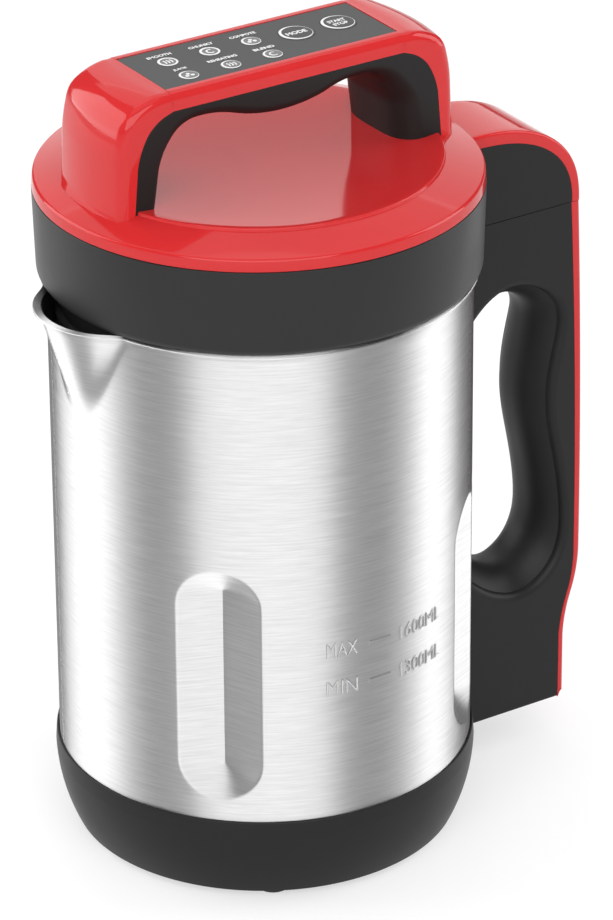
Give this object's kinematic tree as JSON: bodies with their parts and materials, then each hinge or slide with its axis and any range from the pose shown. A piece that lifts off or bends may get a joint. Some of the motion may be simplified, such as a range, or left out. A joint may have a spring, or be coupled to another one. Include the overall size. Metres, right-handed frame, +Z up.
{
  "type": "soup maker",
  "caption": "Steel jug with a heated base and rear handle, and a lift-off lid with an arched handle, control panel, motor and stirring blade on a long shaft.",
  "frame": {"origin": "on the jug's axis, at the level of the feet's soles", "axes": "+Z up along the jug's axis, +X towards the rear handle, the pouring lip towards -X"},
  "size_m": [0.2286, 0.1672, 0.3157],
  "materials": {
    "brushed_steel": "brushed",
    "plain_steel": "bright",
    "aluminium": "satin",
    "black_satin": "satin",
    "black_matte": "matte",
    "red_gloss": "glossy",
    "panel_grey": "satin",
    "lens_clear": "clear",
    "rubber": "matte",
    "brass": "plain",
    "cable_sheath": "satin",
    "moulded_inner": "matte",
    "board_green": "satin",
    "iron": "plain"
  },
  "bodies": {
    "jug": {"jug_shell": "brushed_steel", "base_cup": "black_satin", "base_cover": "black_matte", "base_screws": "plain_steel", "foot_pads": "rubber", "heat_spreader": "aluminium", "heating_element": "plain_steel", "element_terminals": "brass", "thermostat": "moulded_inner", "thermal_fuse": "moulded_inner", "base_leads": "cable_sheath", "handle_shell": "black_matte", "handle_grip": "black_matte", "handle_strip": "red_gloss", "handle_brackets": "plain_steel", "handle_screws": "plain_steel", "mains_inlet": "black_matte", "inlet_pins": "brass", "handle_cable": "cable_sheath", "lid_socket": "black_matte", "socket_contacts": "brass"},
    "lid": {"lid_plug": "black_matte", "plug_pins": "brass", "lid_housing": "black_satin", "lid_cover": "red_gloss", "lid_underplate": "brushed_steel", "overflow_probe": "brushed_steel", "lid_seal": "rubber", "lid_arch": "red_gloss", "arch_grip": "black_matte", "panel_ribbon": "cable_sheath", "control_panel": "panel_grey", "indicator_lenses": "lens_clear", "control_board": "board_green", "rear_cap": "red_gloss", "rear_housing": "black_matte", "motor_can": "plain_steel", "motor_screws": "plain_steel", "motor_magnets": "iron", "motor_end_cap": "moulded_inner", "motor_brushes": "iron", "lower_bearing": "brass", "upper_bearing": "brass", "shaft_tube": "brushed_steel", "tube_bushing": "brass", "shaft_seal": "rubber", "blade_guard": "brushed_steel", "power_board": "board_green", "board_posts": "moulded_inner", "lid_wiring": "cable_sheath"},
    "rotor": {"motor_rotor": "iron", "commutator": "brass", "drive_shaft": "plain_steel", "cooling_fan": "moulded_inner", "blade": "brushed_steel", "blade_nut": "plain_steel"},
    "mode_key": {"mode_button": "panel_grey"},
    "start_key": {"start_button": "panel_grey"}
  },
  "joints": [
    {"name": "lid_lift", "type": "slide", "parent": "jug", "child": "lid", "axis": [0, 0, 1], "range_m": [0, 0.215]},
    {"name": "blade_spin", "type": "hinge", "parent": "lid", "child": "rotor", "pos_m": [0, 0, 0.046], "axis": [0, 0, 1], "continuous": true},
    {"name": "mode_press", "type": "slide", "parent": "lid", "child": "mode_key", "axis": [0, 0, -1], "range_m": [0, 0.0006], "stiffness_N_per_m": 800, "springref_m": -0.0005},
    {"name": "start_press", "type": "slide", "parent": "lid", "child": "start_key", "axis": [0, 0, -1], "range_m": [0, 0.0006], "stiffness_N_per_m": 800, "springref_m": -0.0005}
  ]
}
